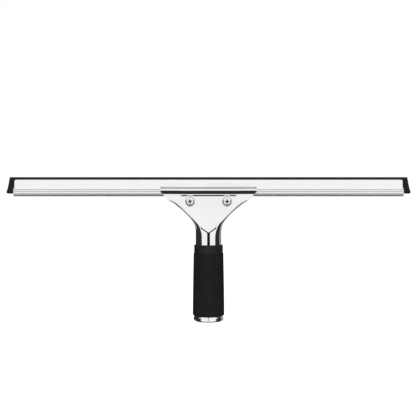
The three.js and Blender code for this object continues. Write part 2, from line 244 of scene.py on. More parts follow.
def new_mesh(name, points, faces, body, nodes, slot, *materials):
    """A smooth-shaded object from points in mm that rides on a body and stands for CAD nodes."""
    mesh = bpy.data.meshes.new(name)
    mesh.from_pydata([tuple(p) for p in np.asarray(points, float) * MM], [], faces)
    mesh.validate()
    mesh.shade_smooth()
    for material in materials:
        mesh.materials.append(material)
    obj = bpy.data.objects.new(name, mesh)
    bpy.context.scene.collection.objects.link(obj)
    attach(obj, body)
    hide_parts(*nodes)
    return obj


def grid_faces(rows, columns, wrap_rows=False, wrap_columns=False):
    """Quads over a rows x columns grid of points, which may close on itself either way."""
    faces = []
    for row in range(rows if wrap_rows else rows - 1):
        for column in range(columns if wrap_columns else columns - 1):
            up = (row + 1) % rows
            right = (column + 1) % columns
            faces.append((row * columns + column, row * columns + right,
                          up * columns + right, up * columns + column))
    return faces


def turn_outward(obj):
    """Makes the faces of a closed mesh point out."""
    work = bmesh.new()
    work.from_mesh(obj.data)
    bmesh.ops.recalc_face_normals(work, faces=work.faces)
    work.to_mesh(obj.data)
    work.free()


def thicken(obj, thickness, inner_material=0):
    """Gives a sheet its thickness, to the side that its faces point away from."""
    solidify = obj.modifiers.new("sheet", "SOLIDIFY")
    solidify.material_offset = inner_material
    solidify.thickness = thickness * MM
    solidify.offset = -1
    solidify.use_even_offset = True
    solidify.use_quality_normals = True


def soften_edges(obj, width, angle=35, segments=3):
    """Rounds the sharp edges a little, as on the real piece."""
    bevel = obj.modifiers.new("edges", "BEVEL")
    bevel.width = width * MM
    bevel.segments = segments
    bevel.limit_method = "ANGLE"
    bevel.angle_limit = math.radians(angle)
    bevel.harden_normals = True
    bevel.use_clamp_overlap = True


def apply_modifiers(obj):
    """Makes what the modifiers show the object's own mesh."""
    graph = bpy.context.evaluated_depsgraph_get()
    finished = bpy.data.meshes.new_from_object(obj.evaluated_get(graph))
    obj.modifiers.clear()
    obj.data = finished


def cut(obj, cutters):
    """Cuts the solids away from obj and removes them."""
    for cutter in cutters:
        boolean = obj.modifiers.new("cut", "BOOLEAN")
        boolean.operation = "DIFFERENCE"
        boolean.solver = "EXACT"
        boolean.material_mode = "TRANSFER"
        boolean.object = cutter
    apply_modifiers(obj)
    for cutter in cutters:
        bpy.data.objects.remove(cutter)


def cylinder_cutter(radius, x, z, y_from, y_to, sides=64):
    """A cylinder along Y, for cut()."""
    points = []
    for y in (y_from, y_to):
        for angle in np.linspace(0, 2 * math.pi, sides, endpoint=False):
            points.append((x + radius * math.cos(angle), y, z + radius * math.sin(angle)))
    faces = grid_faces(2, sides, wrap_columns=True)
    faces += [tuple(range(sides)), tuple(range(2 * sides - 1, sides - 1, -1))]
    return plain_solid(points, faces, POLISHED)


def plain_solid(points, faces, material):
    """A closed solid for cut(). The cut faces take its material."""
    mesh = bpy.data.meshes.new("cutter")
    mesh.materials.append(material)
    mesh.from_pydata([tuple(p) for p in np.asarray(points, float) * MM], [], faces)
    obj = bpy.data.objects.new("cutter", mesh)
    bpy.context.scene.collection.objects.link(obj)
    turn_outward(obj)
    return obj


# ---------------------------------------------------------------- materials


class Nodes:
    """Short ways to add shader nodes to a material or world."""

    def __init__(self, tree):
        tree.nodes.clear()
        self.tree = tree

    def add(self, kind, inputs=None, **settings):
        node = self.tree.nodes.new(kind)
        for key, value in settings.items():
            setattr(node, key, value)
        for key, value in (inputs or {}).items():
            if isinstance(value, bpy.types.NodeSocket):
                self.tree.links.new(value, node.inputs[key])
            else:
                node.inputs[key].default_value = value
        return node

    def stretched(self, scale):
        """Object coordinates in mm, scaled per axis."""
        place = self.add("ShaderNodeTexCoord").outputs["Object"]
        factors = [s / MM for s in scale]
        return self.add("ShaderNodeMapping", {"Vector": place, "Scale": factors}).outputs[0]

    def noise(self, scale, detail=3.0, roughness=0.5):
        """Noise from 0 to 1 with features about 1 / scale mm long on each axis."""
        inputs = {"Vector": self.stretched(scale), "Scale": 1.0, "Detail": detail,
                  "Roughness": roughness}
        return self.add("ShaderNodeTexNoise", inputs).outputs[0]

    def scaled(self, value, low, high, from_low=0.3, from_high=0.7):
        """The value taken from one range to another, and kept inside it."""
        inputs = {"Value": value, "From Min": from_low, "From Max": from_high,
                  "To Min": low, "To Max": high}
        return self.add("ShaderNodeMapRange", inputs).outputs[0]

    def blend(self, factor, dark, light):
        """A colour between dark and light."""
        node = self.add("ShaderNodeMix", data_type="RGBA")
        self.tree.links.new(factor, node.inputs["Factor"])
        node.inputs[6].default_value = (*dark, 1)
        node.inputs[7].default_value = (*light, 1)
        return node.outputs[2]

    def bump(self, height, depth, under=None):
        """A bump of the given depth in mm, on top of another one."""
        inputs = {"Height": height, "Distance": depth * MM, "Strength": 1.0}
        if under is not None:
            inputs["Normal"] = under
        return self.add("ShaderNodeBump", inputs).outputs[0]

    def math(self, operation, a, b):
        return self.add("ShaderNodeMath", {0: a, 1: b}, operation=operation).outputs[0]

    def surface(self, **inputs):
        """The principled shader, linked to the output."""
        named = {key.replace("_", " "): value for key, value in inputs.items()}
        shader = self.add("ShaderNodeBsdfPrincipled", named)
        self.add("ShaderNodeOutputMaterial", {"Surface": shader.outputs[0]})
        return shader


def material_nodes(name):
    """A new material, and the short ways to add nodes to it."""
    material = bpy.data.materials.new(name)
    material.use_nodes = True
    return material, Nodes(material.node_tree)


def polished_steel():
    """Buffed stainless steel: a mirror with faint polishing lines and handling smudges."""
    material, n = material_nodes("polished_steel")
    smudge = n.noise((0.05, 0.05, 0.05), detail=4)
    lines = n.noise((2.6, 2.6, 0.12), detail=5, roughness=0.6)
    waves = n.noise((0.035, 0.035, 0.035), detail=1)
    rough = n.math("ADD", n.scaled(smudge, 0.035, 0.085), n.scaled(lines, 0.0, 0.03))
    tint = n.blend(n.scaled(smudge, 0, 1), (0.83, 0.835, 0.84), (0.90, 0.905, 0.91))
    normal = n.bump(lines, 0.0006, under=n.bump(waves, 0.02))
    n.surface(Base_Color=tint, Metallic=1.0, Roughness=rough, Normal=normal)
    return material


def unpolished_steel_painted_shade():
    """The inside of the pressed handle: dull mill finish in patches, painted dark as painted shade
    inside the tube.
    """
    material, n = material_nodes("unpolished_steel_painted_shade")
    scale = n.noise((0.12, 0.12, 0.12), detail=5)
    grain = n.noise((2.0, 2.0, 2.0), detail=4)
    # Painted shade: the whole range is dark, standing in for the shade inside the tube and its seam.
    tint = n.blend(n.scaled(scale, 0, 1), (0.10, 0.10, 0.10), (0.24, 0.24, 0.245))
    rough = n.scaled(grain, 0.45, 0.62)
    n.surface(Base_Color=tint, Metallic=1.0, Roughness=rough, Normal=n.bump(grain, 0.01))
    return material


def recess_painted_shade():
    """The floor and walls of a drive recess, painted nearly black as painted shade, with a mottled
    tone.
    """
    material, n = material_nodes("recess_painted_shade")
    mottle = n.noise((1.2, 1.2, 1.2), detail=4)
    # Painted shade: near black, for the shade deep in the recess.
    tint = n.blend(n.scaled(mottle, 0, 1), (0.012, 0.012, 0.012), (0.05, 0.05, 0.05))
    n.surface(Base_Color=tint, Metallic=0.6, Roughness=n.scaled(mottle, 0.4, 0.6),
              Normal=n.bump(mottle, 0.03))
    return material


def satin_steel():
    """Drawn stainless steel strip: fine lines along X and a soft sheen across them."""
    material, n = material_nodes("satin_steel")
    lines = n.noise((0.02, 5.0, 5.0), detail=6, roughness=0.65)
    broad = n.noise((0.004, 0.2, 0.2), detail=2)
    rough = n.math("ADD", n.scaled(lines, 0.17, 0.25), n.scaled(broad, -0.02, 0.02))
    tint = n.blend(n.scaled(lines, 0, 1), (0.885, 0.885, 0.89), (0.945, 0.945, 0.95))
    normal = n.bump(lines, 0.0012)
    n.surface(Base_Color=tint, Metallic=1.0, Roughness=rough, Anisotropic=0.3, Normal=normal)
    return material


def plated_steel():
    """Bright zinc-plated screws: slightly uneven plating."""
    material, n = material_nodes("plated_steel")
    grain = n.noise((1.6, 1.6, 1.6), detail=4)
    pits = n.noise((5.0, 5.0, 5.0), detail=2)
    rough = n.scaled(grain, 0.08, 0.17)
    tint = n.blend(n.scaled(grain, 0, 1), (0.76, 0.77, 0.78), (0.88, 0.89, 0.90))
    n.surface(Base_Color=tint, Metallic=1.0, Roughness=rough, Normal=n.bump(pits, 0.004))
    return material


def spring_steel():
    """Oiled spring steel: darker, with blue-grey heat patches."""
    material, n = material_nodes("spring_steel")
    patches = n.noise((0.6, 0.6, 0.6), detail=4)
    grain = n.noise((4.0, 4.0, 4.0), detail=3)
    tint = n.blend(n.scaled(patches, 0, 1), (0.22, 0.225, 0.24), (0.42, 0.42, 0.43))
    rough = n.scaled(grain, 0.24, 0.42)
    n.surface(Base_Color=tint, Metallic=1.0, Roughness=rough, Normal=n.bump(grain, 0.006))
    return material


def blade_rubber():
    """Matt natural rubber, moulded, with a faint dusty bloom and fine pores."""
    material, n = material_nodes("blade_rubber")
    bloom = n.noise((0.10, 0.4, 0.4), detail=5, roughness=0.6)
    pores = n.noise((3.5, 3.5, 3.5), detail=4)
    tint = n.blend(n.scaled(bloom, 0, 1), (0.004, 0.004, 0.0045), (0.013, 0.013, 0.0135))
    rough = n.scaled(bloom, 0.62, 0.80)
    n.surface(Base_Color=tint, Roughness=rough, Specular_IOR_Level=0.25,
              Normal=n.bump(pores, 0.02))
    return material


def grip_rubber():
    """Moulded grip rubber: dark, with a fine leathery grain, worn patches and a collar painted paler
    as a painted sheen for its smoother surface.
    """
    material, n = material_nodes("grip_rubber")
    wear = n.noise((0.09, 0.09, 0.05), detail=4)
    grain = n.noise((2.8, 2.8, 2.8), detail=5, roughness=0.6)
    height = n.add("ShaderNodeSeparateXYZ", {0: n.stretched((1, 1, 1))}).outputs[2]
    # Painted sheen: above the shoulder the collar is painted paler, standing in for its glossier
    # surface.
    plain = n.scaled(height, 0, 0.7, GRIP_SHOULDER, GRIP_SHOULDER + 0.6)
    shade = n.math("ADD", n.scaled(wear, 0, 0.5), plain)
    tint = n.blend(shade, (0.0045, 0.0045, 0.0048), (0.014, 0.014, 0.0145))
    rough = n.scaled(grain, 0.50, 0.66)
    n.surface(Base_Color=tint, Roughness=rough, Specular_IOR_Level=0.22,
              Normal=n.bump(grain, 0.02))
    return material


POLISHED = polished_steel()
UNPOLISHED_PAINTED_SHADE = unpolished_steel_painted_shade()
RECESS_PAINTED_SHADE = recess_painted_shade()
SATIN = satin_steel()
PLATED = plated_steel()
SPRING = spring_steel()
BLADE_RUBBER = blade_rubber()
GRIP_RUBBER = grip_rubber()

# ---------------------------------------------------------------- the handle's outer form

tube_radius = spline([
    (0, MOUTH_RADIUS - 0.75), (0.6, MOUTH_RADIUS - 0.3), (1.7, MOUTH_RADIUS), (5, 16.2), (9, 15.2),
    (14, NECK_RADIUS + 0.05), (20, NECK_RADIUS), (FAN_BOTTOM, NECK_RADIUS),
])

# Half the fan's width at each height, up to where the jaws begin.
flank = spline([
    (96, NECK_RADIUS), (103, 14.75), (108, 15.7), (113, 18.1), (121.2, 25.1),
    (130.3, 35.6), (135, 42.4), (SHOULDER_Z, 46.7), (FAN_TOP, FAN_TOP_HALF_WIDTH),
])

# Half the width of the front plate above its V, along the inside of the rim.
rim_inside = spline([
    (PLATE_V_TOP, 7.4), (108.8, 10.7), (113.5, 15.5), (119, 19.9), (126, 27.0),
    (131, 33.6), (RIM_TOP, RIM_TOP_HALF_WIDTH),
])


def half_depth(z):
    """Half the fan's depth at height z, from the round neck up to the flat fan."""
    slope = (NECK_RADIUS - FAN_HALF_DEPTH) / (FAN_FLAT - FAN_BOTTOM)
    return NECK_RADIUS - slope * (ramp(z - FAN_BOTTOM, 4) - ramp(z - FAN_FLAT, 2))


# Rounding of the fan's edges at each height: the round neck turns into a flat, firm-edged fan.
edge_radius = spline([
    (96, NECK_RADIUS), (101, 13.0), (107, 9.8), (112, 6.4), (116.5, 4.0), (121, 3.4),
    (128, 4.2), (134, 4.5), (SHOULDER_Z, 4.0), (FAN_TOP, 3.0),
])


def section(z):
    """Half width, half depth and corner radius of the handle at height z."""
    if z < FAN_BOTTOM - 2:
        radius = float(tube_radius(z))
        return radius, radius, radius - ROUND_SLACK
    depth = half_depth(z)
    return float(flank(z)), depth, min(float(edge_radius(z)), depth - ROUND_SLACK)


def plate_half_width(z):
    """Half the width of the front plate at height z, from the tip of the V to the jaw."""
    if z < PLATE_V_TOP:
        return PLATE_TIP_HALF_WIDTH + PLATE_V_SLOPE * max(z - V_BOTTOM, 0)
    if z < RIM_TOP:
        return float(rim_inside(z))
    widths = [RIM_TOP_HALF_WIDTH, 46.9, FAN_TOP_HALF_WIDTH]
    return float(np.interp(z, [RIM_TOP, SHOULDER_Z, FAN_TOP], widths))


def opening_half_width(z):
    """Half the width of the shell's front opening: the seam, then the V, then the rim."""
    widening = SEAM_HALF_WIDTH_HIGH - SEAM_HALF_WIDTH_LOW
    seam = SEAM_HALF_WIDTH_LOW + widening * smoothstep(*SEAM_SPREAD, z)
    vee = V_SLOPE * (z - V_BOTTOM + V_GAP)
    if z < V_TOP:
        return max(seam, vee)
    vee_top = V_SLOPE * (V_TOP - V_BOTTOM + V_GAP)
    if z < PLATE_V_TOP:
        return vee_top
    return max(vee_top, plate_half_width(z) + CLOSE_GAP)


def section_half(z, start, columns):
    """Points of the handle's outline at height z, from an arc length past the front centre
    round the right side to the back centre. They lie closer together where it turns."""
    width, depth, corner = section(z)
    flat_x = width - corner
    flat_y = depth - corner
    quarter = corner * math.pi / 2
    length = np.cumsum([0, flat_x, quarter, 2 * flat_y, quarter, flat_x])
    turn = np.radians([0, 0, 90, 90, 180, 180])
    spacing = length / length[-1] + TURN_CROWDING * turn / math.pi
    first = np.interp(start, length, spacing)
    crowded = first + (spacing[-1] - first) * np.linspace(0, 1, columns)**EDGE_CROWDING
    s = np.interp(crowded, spacing, length)
    angle = np.interp(s, length, turn)
    x = np.interp(s, length, [0, flat_x, flat_x, flat_x, flat_x, 0]) + corner * np.sin(angle)
    y = np.interp(s, length, [-flat_y, -flat_y, -flat_y, flat_y, flat_y, flat_y])
    from_edge = np.clip((s - start) / SEAM_ROLL_WIDTH, 0, 1)
    roll = SEAM_ROLL * (1 - from_edge)**2 * (1 - smoothstep(*SEAM_ROLL_FADE, z))
    return np.column_stack([x, y - corner * np.cos(angle) + roll, np.full(columns, z)])


def start_length(z):
    """Arc length from the front centre to the shell's front edge at height z."""
    width, depth, corner = section(z)
    flat_x = width - corner
    side = flat_x + corner * math.pi / 2
    back = side + 2 * (depth - corner) + corner * math.pi / 2
    if z >= SHOULDER_Z:
        return side + (back - side) * smoothstep(SHOULDER_Z, FAN_TOP, z)
    across = opening_half_width(z)
    if across <= flat_x:
        return across
    return flat_x + corner * math.asin(min(1.0, (across - flat_x) / corner))


def mirrored_row(half):
    """A row of points from its right half, whose last point is on the centre plane."""
    left = half[-2::-1] * (-1, 1, 1)
    return np.vstack([half, left])


# ---------------------------------------------------------------- jaws

# The jaw's front face in (forward, z, corner radius): the top of the flat panel, a small step,
# the slanted underside, the crest, and the leaf that lies along the channel.
JAW_UPPER_CORNERS = [
    (10.1, 148.8, CREST_RADIUS), (LEAF_FORWARD, 152.6, 0.7), (LEAF_FORWARD, JAW_TOP, 0),
]
JAW_CORNERS = [
    (FAN_HALF_DEPTH, FAN_TOP, 0), (FAN_HALF_DEPTH, 141.3, 0.2), (7.2, 142.8, 0.2),
    (7.2, 143.6, 0.3), *JAW_UPPER_CORNERS,
]
# The same without the step. Its second corner is a hair forward, as a corner has to bend.
PLAIN_JAW_CORNERS = [
    (FAN_HALF_DEPTH, FAN_TOP, 0), (FAN_HALF_DEPTH + 0.005, 141.3, 0.2),
    (FAN_HALF_DEPTH, 142.6, 0.2), (FAN_HALF_DEPTH, 143.7, 0.6), *JAW_UPPER_CORNERS,
]

# Half the jaw's width, in (z, half width).
JAW_EDGE = [
    (FAN_TOP, FAN_TOP_HALF_WIDTH), (143.8, 51.6), (147.4, 54.6), (149, JAW_HALF_WIDTH), (151.6, 54.6),
    (JAW_TOP, 51.2),
]


def jaw_half_width(z):
    """Half the jaw's width at height z. It is widest at the crest."""
    return float(np.interp(z, *np.array(JAW_EDGE).T))


def jaw_rows(across, corners, start):
    """Rows of points up a jaw, from point number start of its profile. across spans -1 to 1."""
    stepped = rounded_path(corners)
    plain = rounded_path(PLAIN_JAW_CORNERS)
    rows = []
    for on_step, on_plain in zip(stepped[start:], plain[start:]):
        x = across * jaw_half_width(on_plain[1])
        fade = smoothstep(*JAW_STEP_SPAN, np.abs(x))
        forward = on_step[0] * (1 - fade) + on_plain[0] * fade
        z = on_step[1] * (1 - fade) + on_plain[1] * fade
        rows.append(np.column_stack([x, -forward, z]))
    return rows


# ---------------------------------------------------------------- handle pieces


def shell_heights():
    """Heights of the shell's rows of points below its jaw. The straight tube needs only one
    row in eight."""
    mouth = heights([0, 1.7, 5, 9, 14], ROW_STEP)
    tube = heights([14, FAN_BOTTOM], ROW_STEP)
    fan = heights([FAN_BOTTOM, V_ROW, V_TOP, PLATE_V_TOP, RIM_TOP, SHOULDER_Z, FAN_TOP], ROW_STEP)
    return np.unique(np.concatenate([mouth, tube[:3], tube[9:-5:8], tube[-5:], fan]))


def handle_shell():
    """The rolled tube, fan, rim and rear jaw, pressed from one sheet."""
    columns = 60
    rows = [mirrored_row(section_half(z, start_length(z), columns)) for z in shell_heights()]
    across = np.linspace(1, -1, 2 * columns - 1)
    for row in jaw_rows(across, PLAIN_JAW_CORNERS, start=2):
        rows.append(row * (1, -1, 1))
    points = np.vstack(rows)
    faces = grid_faces(len(rows), 2 * columns - 1)
    shell = new_mesh("handle_shell_skin", points, faces, "handle", ["handle_shell"],
                     "handle_steel", POLISHED, UNPOLISHED_PAINTED_SHADE)
    # The inner faces take the dark inner steel, a painted shade for the shadowed inside.
    thicken(shell, SHEET, inner_material=1)
    cut(shell, [
        cylinder_cutter(SHELL_HOLE_RADIUS, side * SCREW_X, SCREW_Z, 2, 20) for side in (-1, 1)
    ])
    soften_edges(shell, 0.28)


def panel_forward(x, z):
    """How far forward the handle's outline lies at (x, z), for the plate set flush in it."""
    width, depth, corner = section(z)
    past = np.clip(np.abs(x) - (width - corner), 0, corner * 0.98)
    curved = depth - corner + np.sqrt(corner**2 - past**2)
    return depth + (curved - depth) * (1 - smoothstep(PLATE_FLAT_FROM, SHOULDER_Z, z))


def front_plate():
    """The front plate with its V-shaped tip and the hooked front jaw."""
    across = np.linspace(-1, 1, 121)
    rows = []
    for z in heights([V_BOTTOM, PLATE_V_TOP, RIM_TOP, SHOULDER_Z, FAN_TOP], ROW_STEP):
        x = across * plate_half_width(z)
        rows.append(np.column_stack([x, -panel_forward(x, z), np.full(len(x), z)]))
    rows += jaw_rows(across, JAW_CORNERS, start=1)
    points = np.vstack(rows)
    plate = new_mesh("front_jaw_skin", points, grid_faces(len(rows), len(across)), "front_jaw",
                     ["front_jaw_plate"], "handle_steel", POLISHED, UNPOLISHED_PAINTED_SHADE)
    # The inner faces take the dark inner steel, a painted shade for the shadowed inside.
    thicken(plate, SHEET, inner_material=1)
    cut(plate, [
        cylinder_cutter(PLATE_HOLE_RADIUS, side * SCREW_X, SCREW_Z, -20, 0) for side in (-1, 1)
    ])
    soften_edges(plate, 0.22)


def grip():
    """The ribbed rubber sleeve, with a plain collar at its top and rounded rib ends."""
    around = RIBS * 8
    angle = np.linspace(0, 2 * math.pi, around, endpoint=False)
    rib = 0.5 - 0.5 * np.cos(angle * RIBS)
    groove = 1 - rib**0.6
    body = spline([
        (GRIP_LOW[2] + 3, GRIP_RADIUS), (40, GRIP_RADIUS - 0.35), (GRIP_SHOULDER, GRIP_TOP_RADIUS),
    ])
    rows = []
    for turn in np.radians(np.linspace(0, 90, 7)):
        rows.append((GRIP_LOW[2] + GRIP_FOOT_RADIUS * (1 - math.cos(turn)),
                     GRIP_RADIUS - GRIP_FOOT_RADIUS * (1 - math.sin(turn)),
                     0.2 + 0.8 * turn / (math.pi / 2)))
    for z in np.linspace(GRIP_LOW[2] + 4, GRIP_SHOULDER - 2, 24):
        rows.append((z, float(body(z)), 1.0))
    for z, share in ((GRIP_SHOULDER - 1, 0.8), (GRIP_SHOULDER - 0.4, 0.4), (GRIP_SHOULDER, 0.1)):
        rows.append((z, GRIP_TOP_RADIUS - 0.15 * (1 - share), share))
    for z, radius in ((GRIP_SHOULDER + 0.35, GRIP_TOP_RADIUS - 0.35),
                      (GRIP_SHOULDER + 0.6, COLLAR_RADIUS + 0.05),
                      (GRIP_SHOULDER + 1.0, COLLAR_RADIUS),
                      (GRIP_HIGH[2] - 0.8, COLLAR_RADIUS),
                      (GRIP_HIGH[2] - 0.3, COLLAR_RADIUS - 0.12),
                      (GRIP_HIGH[2], COLLAR_RADIUS - 0.45)):
        rows.append((z, radius, 0.0))
    for z in (GRIP_HIGH[2], 60, 30, 20, 14, 9, 7, GRIP_LOW[2]):
        rows.append((z, float(tube_radius(z)) + GRIP_SLACK, 0.0))
    points = []
    for z, radius, depth in rows:
        r = radius - RIB_DEPTH * depth * groove
        points.append(np.column_stack([r * np.cos(angle), r * np.sin(angle), np.full(around, z)]))
    faces = grid_faces(len(rows), around, wrap_rows=True, wrap_columns=True)
    sleeve = new_mesh("rubber_grip_sleeve", np.vstack(points), faces, "handle", ["rubber_grip"],
                      "grip_rubber", GRIP_RUBBER)
    turn_outward(sleeve)


# ---------------------------------------------------------------- channel and blade


def channel_outside():
    """The channel's outer face in (forward, z), from its front lip down to the middle of the
    bulb's underside. Three shallow ledges, drawn into the strip, run along the bulb."""
    flat = CHANNEL_HIGH[1] - BULB_SWELL
    bulb = CHANNEL_HIGH[1]
    lip = [(flat, CHANNEL_HIGH[2] - drop) for drop in LIP_DROPS]
    knots = [(flat, 151.4), (flat, BULB_TOP), (flat + 0.25, 150.1), (bulb - 0.4, 149.5)]
    for crest in (149.05, 146.8, 144.55):
        knots += [(bulb - 0.04, crest), (bulb - LEDGE_DEPTH, crest - LEDGE_FALL)]
    knots += [(bulb - 0.95, 142.9), (bulb - 1.6, 142.1), (bulb - 2.6, 141.6),
              (bulb - 3.7, 141.25), (0, CHANNEL_LOW[2])]
    return np.vstack([lip, smooth_path(knots, 60)])


def channel_inside(count):
    """The channel's inner face, as many points in (forward, z) from the same lip."""
    slot = CHANNEL_HIGH[1] - BULB_SWELL - CHANNEL_WALL
    inner = CHANNEL_HIGH[1] - CHANNEL_WALL
    floor = CHANNEL_LOW[2] + CHANNEL_WALL
    lip = [(slot, CHANNEL_HIGH[2] - drop) for drop in LIP_DROPS]
    knots = [(slot, 152.2), (slot, 150.9), (slot + 0.3, 150.2), (inner - 0.3, 149.2),
             (inner, 147.5), (inner, 145.0), (inner - 0.3, 143.6), (inner - 0.9, 142.8),
             (inner - 1.7, floor + 0.08), (0, floor)]
    return np.vstack([lip, smooth_path(knots, count - len(lip))])


def channel_half_length(z):
    """Half the channel's length at height z, with its flat part set back and rounded."""
    half = CHANNEL_HIGH[0]
    if z < BULB_TOP:
        return half
    half -= CHANNEL_SETBACK * smoothstep(BULB_TOP, BULB_TOP + 0.8, z)
    rise = z - (CHANNEL_HIGH[2] - CHANNEL_CORNER)
    if rise <= 0:
        return half
    return half - CHANNEL_CORNER + math.sqrt(max(CHANNEL_CORNER**2 - rise**2, 0))


def both_sides(front):
    """A path in (forward, z) down to the centre plane, continued by its mirror image."""
    return np.vstack([front, front[-2::-1] * (-1, 1)])


def channel():
    """The keyhole-section channel, drawn from satin strip."""
    outside = both_sides(channel_outside())
    inside = both_sides(channel_inside(len(channel_outside())))
    loop = np.vstack([outside, inside[::-1]])
    across = np.linspace(-1, 1, 61)
    sections = [
        np.column_stack([[a * channel_half_length(z) for z in loop[:, 1]], -loop[:, 0], loop[:, 1]])
        for a in across
    ]
    around = len(loop)
    faces = grid_faces(len(sections), around, wrap_columns=True)
    for base in (0, (len(sections) - 1) * around):
        for i in range(len(outside) - 1):
            opposite = around - 1 - i
            faces.append((base + i, base + i + 1, base + opposite - 1, base + opposite))
    bar = new_mesh("channel_strip", np.vstack(sections), faces, "channel", ["channel"],
                   "channel_steel", SATIN)
    turn_outward(bar)
    soften_edges(bar, 0.18, angle=50)


def blade_profile():
    """Half of the blade's section in (y, z), from the middle of its bead up to its lip."""
    bead = BLADE_HIGH[1]
    middle = BLADE_LOW[2] + bead
    web = BLADE_WEB_HALF
    lip = BLADE_LIP_HALF
    meet = math.acos(web / bead)
    arc = [(bead * math.sin(a), middle - bead * math.cos(a))
           for a in np.linspace(0, math.pi / 2 + meet, 14)]
    top = BLADE_HIGH[2]
    web_points = [(web, z) for z in (150.5, 155, 160, top - 2.6)]
    lip_points = [(lip + 0.03, top - 0.5), (lip, top - 0.12), (lip - 0.12, top), (0, top)]
    return np.array(arc + web_points + lip_points)


def blade():
    """The rubber strip: a bead along its back, a flat web, a crisp lip and slanted ends."""
    half_profile = blade_profile()
    profile = np.vstack([half_profile, half_profile[-2:0:-1] * (-1, 1)])
    low, high = BLADE_LOW[2], BLADE_HIGH[2]
    lip_half_length = BLADE_HIGH[0] - BLADE_LIP_SETBACK
    end = spline([(low, BLADE_HIGH[0] - 1.5), (low + 0.7, BLADE_HIGH[0] - 0.4),
                  (low + 1.8, BLADE_HIGH[0] - 0.15), (low + 3.5, BLADE_HIGH[0] - 0.6),
                  (high, lip_half_length)])
    across = np.concatenate([[-1, -0.999, -0.99], np.linspace(-0.97, 0.97, 65), [0.99, 0.999, 1]])
    rows = []
    for a in across:
        x = a * np.array([float(end(z)) for z in profile[:, 1]])
        rows.append(np.column_stack([x, profile]))
    points = np.vstack(rows)
    around = len(profile)
    faces = grid_faces(len(rows), around, wrap_columns=True)
    last = (len(rows) - 1) * around
    half_count = len(half_profile)
    for base in (0, last):
        for i in range(half_count - 1):
            left = (around - i) % around
            next_left = (around - i - 1) % around
            quad = [base + i, base + i + 1, base + next_left, base + left]
            faces.append(tuple(dict.fromkeys(quad)))
    strip = new_mesh("rubber_blade_strip", points, faces, "blade", ["rubber_blade"],
                     "blade_rubber", BLADE_RUBBER)
    turn_outward(strip)
    soften_edges(strip, 0.2, angle=50)


def clip(label, side):
    """A spring clip under the bead: a bowed strip with a dimple that bites into the rubber."""
    length = CLIP_HIGH[0] - CLIP_LOW[0]
    width = CLIP_HIGH[1] - CLIP_LOW[1]
    centre = side * (CLIP_LOW[0] + CLIP_HIGH[0]) / 2
    along = np.linspace(-0.5, 0.5, 41)
    across = np.linspace(-0.5, 0.5, 13)
    rows = []
    for v in across:
        bow = CLIP_BOW * (2 * along)**2
        dimple = CLIP_DIMPLE * np.exp(-((along * length)**2 + (v * width)**2) / 1.6)
        narrow = 1 - 0.25 * smoothstep(0.42, 0.5, np.abs(along))
        z = CLIP_LOW[2] + 0.6 + bow + dimple
        rows.append(np.column_stack([centre + along * length, v * width * narrow, z]))
    strip = new_mesh(f"blade_clip_{label}_spring", np.vstack(rows),
                     grid_faces(len(rows), len(along)), "blade", [f"blade_clip_{label}"],
                     "spring_steel", SPRING)
    thicken(strip, CLIP_THICKNESS)
    soften_edges(strip, 0.1)


# ---------------------------------------------------------------- fasteners


def circle_points(x, z, radius, y, angle):
    """Points at the given angles round an axis along Y."""
    level = np.full(len(angle), y)
    return np.column_stack([x + radius * np.cos(angle), level, z + radius * np.sin(angle)])


def lathe_along_y(profile, x, z, sides=72):
    """Points and faces of a body turned about an axis along Y, from (radius, y) pairs that
    start and end on the axis."""
    angle = np.linspace(0, 2 * math.pi, sides, endpoint=False)
    inner = profile[1:-1]
    points = [np.array([(x, profile[0][1], z), (x, profile[-1][1], z)])]
    for radius, y in inner:
        points.append(circle_points(x, z, radius, y, angle))
    faces = [tuple(i + 2 for i in face)
             for face in grid_faces(len(inner), sides, wrap_columns=True)]
    last = 2 + (len(inner) - 1) * sides
    for i in range(sides):
        following = (i + 1) % sides
        faces.append((0, 2 + following, 2 + i))
        faces.append((1, last + i, last + following))
    return np.vstack(points), faces


def recess_cutter(x, z, front, turn):
    """A cross with tapered wings, for the drive recess of a screw head."""
    cutters = []
    for quarter in (0, 1):
        angle = turn + quarter * math.pi / 2
        along = np.array([math.cos(angle), 0, math.sin(angle)])
        beside = np.array([-math.sin(angle), 0, math.cos(angle)])
        points = []
        for y, reach, half_width in ((front - 0.5, 2.75, 0.78), (front + 2.2, 1.4, 0.5)):
            for a, b in ((-1, -1), (1, -1), (1, 1), (-1, 1)):
                points.append(np.array([x, y, z]) + along * a * reach + beside * b * half_width)
        faces = [(0, 1, 2, 3), (4, 5, 6, 7)] + [
            (i, (i + 1) % 4, 4 + (i + 1) % 4, 4 + i) for i in range(4)]
        # The cut faces take the recess material, which paints shade into the recess.
        cutters.append(plain_solid(points, faces, RECESS_PAINTED_SHADE))
    return cutters


def screw(label, side, turn):
    """A pan-head screw with a cross recess and a helical thread on its shank."""
    x = side * SCREW_X
    front = SCREW_LOW[1]
    tip = SCREW_HIGH[1]
    seat = WASHER_LOW[1] - 0.15
    dome_base = seat - HEAD_RIM
    dome = [(HEAD_RADIUS * math.cos(a), dome_base - (dome_base - front) * math.sin(a))
            for a in np.linspace(math.pi / 2, 0, 16)]
    profile = [(0, front)] + dome[1:] + [
        (HEAD_RADIUS, seat - 0.25), (HEAD_RADIUS - 0.25, seat),
        (SHANK_RADIUS + 0.3, seat), (SHANK_RADIUS, seat + 0.3)]
    threads = np.arange(seat + 1.5, tip - 0.7, THREAD_PITCH / 8)
    profile += [(SHANK_RADIUS, y) for y in threads]
    profile += [(SHANK_RADIUS - 0.1, tip - 0.6), (SHANK_RADIUS - 0.65, tip), (0, tip)]
    points, faces = lathe_along_y(profile, x, SCREW_Z)
    cut_thread(points, x, threads[0], threads[-1])
    head = new_mesh(f"clamp_screw_{label}_pan_head", points, faces, f"{label}_screw",
                    [f"clamp_screw_{label}"], "screw_steel", PLATED)
    turn_outward(head)
    cut(head, recess_cutter(x, SCREW_Z, front, turn))
    soften_edges(head, 0.1, angle=40, segments=2)


